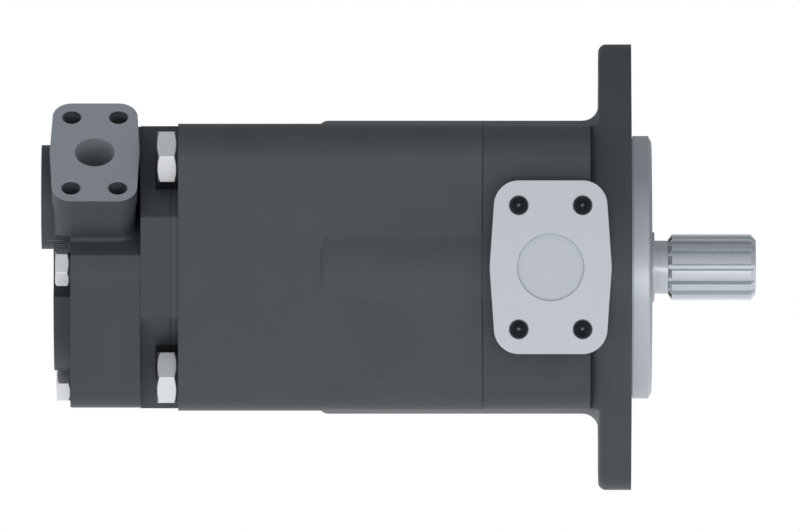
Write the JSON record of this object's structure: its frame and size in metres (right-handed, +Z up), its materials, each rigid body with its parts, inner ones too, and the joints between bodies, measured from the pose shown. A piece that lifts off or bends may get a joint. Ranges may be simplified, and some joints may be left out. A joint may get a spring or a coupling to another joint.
{
  "type": "hydraulic vane pump",
  "caption": "Two-section balanced vane pump with a two-bolt flange, a splined shaft, a suction port and two outlets.",
  "frame": {"origin": "centre of the mounting face, on the shaft's axis", "axes": "+X along the shaft towards its splined end, +Z up along the line of the two mounting holes, -Y towards the side of outlet 1, +Y towards the suction port"},
  "size_m": [0.3394, 0.1658, 0.212],
  "materials": {
    "painted_casting": "satin grey paint, port faces machined bare",
    "plated_bolts": "bright zinc plate",
    "transport_plug": "moulded, light grey",
    "ground_shaft": "ground and hobbed",
    "bearing_steel": "ground and polished",
    "pressed_brass": "pressed",
    "spring_steel": "blackened",
    "pressed_steel": "pressed sheet",
    "seal_rubber": "moulded",
    "bearing_bronze": "turned",
    "plate_bronze": "lapped",
    "hardened_steel": "hardened and ground",
    "ground_pins": "ground",
    "black_screws": "black oxide",
    "vane_steel": "ground"
  },
  "bodies": {
    "casing": {"front_cap": "painted_casting", "centre_housing": "painted_casting", "end_cap": "painted_casting", "front_joint_seal": "seal_rubber", "rear_joint_seal": "seal_rubber", "housing_bolts": "plated_bolts", "end_cap_bolts": "plated_bolts", "outlet1_plug": "transport_plug", "bearing_outer_ring": "bearing_steel", "bearing_bore_ring": "spring_steel", "seal_case": "pressed_steel", "seal_lip": "seal_rubber", "rear_bush": "bearing_bronze", "p1_front_plate": "plate_bronze", "p1_rear_plate": "plate_bronze", "p1_plate_seal": "seal_rubber", "p1_cam_ring": "hardened_steel", "p1_dowel_pins": "ground_pins", "p1_screws": "black_screws", "p2_front_plate": "plate_bronze", "p2_rear_plate": "plate_bronze", "p2_plate_seal": "seal_rubber", "p2_cam_ring": "hardened_steel", "p2_dowel_pins": "ground_pins", "p2_screws": "black_screws"},
    "shaft": {"shaft": "ground_shaft", "bearing_inner_ring": "bearing_steel", "bearing_shaft_ring": "spring_steel", "p1_rotor": "hardened_steel", "p2_rotor": "hardened_steel"},
    "bearing_cage": {"bearing_cage": "pressed_brass", "bearing_balls": "bearing_steel"},
    "p1_vane_01": {"p1_vane_01": "vane_steel"},
    "p1_vane_02": {"p1_vane_02": "vane_steel"},
    "p1_vane_03": {"p1_vane_03": "vane_steel"},
    "p1_vane_04": {"p1_vane_04": "vane_steel"},
    "p1_vane_05": {"p1_vane_05": "vane_steel"},
    "p1_vane_06": {"p1_vane_06": "vane_steel"},
    "p1_vane_07": {"p1_vane_07": "vane_steel"},
    "p1_vane_08": {"p1_vane_08": "vane_steel"},
    "p1_vane_09": {"p1_vane_09": "vane_steel"},
    "p1_vane_10": {"p1_vane_10": "vane_steel"},
    "p2_vane_01": {"p2_vane_01": "vane_steel"},
    "p2_vane_02": {"p2_vane_02": "vane_steel"},
    "p2_vane_03": {"p2_vane_03": "vane_steel"},
    "p2_vane_04": {"p2_vane_04": "vane_steel"},
    "p2_vane_05": {"p2_vane_05": "vane_steel"},
    "p2_vane_06": {"p2_vane_06": "vane_steel"},
    "p2_vane_07": {"p2_vane_07": "vane_steel"},
    "p2_vane_08": {"p2_vane_08": "vane_steel"},
    "p2_vane_09": {"p2_vane_09": "vane_steel"},
    "p2_vane_10": {"p2_vane_10": "vane_steel"}
  },
  "joints": [
    {"name": "shaft_spin", "type": "hinge", "parent": "casing", "child": "shaft", "pos_m": [0, 0, 0], "axis": [1, 0, 0], "continuous": true},
    {"name": "cage_spin", "type": "hinge", "parent": "casing", "child": "bearing_cage", "pos_m": [-0.0045, 0, 0], "axis": [1, 0, 0], "continuous": true},
    {"name": "p1_vane_01_slide", "type": "slide", "parent": "shaft", "child": "p1_vane_01", "axis": [0, 0.9511, 0.309], "range_m": [0, 0.000696]},
    {"name": "p1_vane_02_slide", "type": "slide", "parent": "shaft", "child": "p1_vane_02", "axis": [0, 0.5878, 0.809], "range_m": [0, 0.00404]},
    {"name": "p1_vane_03_slide", "type": "slide", "parent": "shaft", "child": "p1_vane_03", "axis": [0, 0, 1], "range_m": [0, 0.0066]},
    {"name": "p1_vane_04_slide", "type": "slide", "parent": "shaft", "child": "p1_vane_04", "axis": [0, -0.5878, 0.809], "range_m": [0, 0.00404]},
    {"name": "p1_vane_05_slide", "type": "slide", "parent": "shaft", "child": "p1_vane_05", "axis": [0, -0.9511, 0.309], "range_m": [0, 0.000696]},
    {"name": "p1_vane_06_slide", "type": "slide", "parent": "shaft", "child": "p1_vane_06", "axis": [0, -0.9511, -0.309], "range_m": [0, 0.000696]},
    {"name": "p1_vane_07_slide", "type": "slide", "parent": "shaft", "child": "p1_vane_07", "axis": [0, -0.5878, -0.809], "range_m": [0, 0.00404]},
    {"name": "p1_vane_08_slide", "type": "slide", "parent": "shaft", "child": "p1_vane_08", "axis": [0, 0, -1], "range_m": [0, 0.0066]},
    {"name": "p1_vane_09_slide", "type": "slide", "parent": "shaft", "child": "p1_vane_09", "axis": [0, 0.5878, -0.809], "range_m": [0, 0.00404]},
    {"name": "p1_vane_10_slide", "type": "slide", "parent": "shaft", "child": "p1_vane_10", "axis": [0, 0.9511, -0.309], "range_m": [0, 0.000696]},
    {"name": "p2_vane_01_slide", "type": "slide", "parent": "shaft", "child": "p2_vane_01", "axis": [0, 0.9511, 0.309], "range_m": [0, 0.00059]},
    {"name": "p2_vane_02_slide", "type": "slide", "parent": "shaft", "child": "p2_vane_02", "axis": [0, 0.5878, 0.809], "range_m": [0, 0.00321]},
    {"name": "p2_vane_03_slide", "type": "slide", "parent": "shaft", "child": "p2_vane_03", "axis": [0, 0, 1], "range_m": [0, 0.0052]},
    {"name": "p2_vane_04_slide", "type": "slide", "parent": "shaft", "child": "p2_vane_04", "axis": [0, -0.5878, 0.809], "range_m": [0, 0.00321]},
    {"name": "p2_vane_05_slide", "type": "slide", "parent": "shaft", "child": "p2_vane_05", "axis": [0, -0.9511, 0.309], "range_m": [0, 0.00059]},
    {"name": "p2_vane_06_slide", "type": "slide", "parent": "shaft", "child": "p2_vane_06", "axis": [0, -0.9511, -0.309], "range_m": [0, 0.00059]},
    {"name": "p2_vane_07_slide", "type": "slide", "parent": "shaft", "child": "p2_vane_07", "axis": [0, -0.5878, -0.809], "range_m": [0, 0.00321]},
    {"name": "p2_vane_08_slide", "type": "slide", "parent": "shaft", "child": "p2_vane_08", "axis": [0, 0, -1], "range_m": [0, 0.0052]},
    {"name": "p2_vane_09_slide", "type": "slide", "parent": "shaft", "child": "p2_vane_09", "axis": [0, 0.5878, -0.809], "range_m": [0, 0.00321]},
    {"name": "p2_vane_10_slide", "type": "slide", "parent": "shaft", "child": "p2_vane_10", "axis": [0, 0.9511, -0.309], "range_m": [0, 0.00059]}
  ],
  "couplings": [
    {"joint": "cage_spin", "follows": "shaft_spin", "ratio": 0.39626}
  ]
}
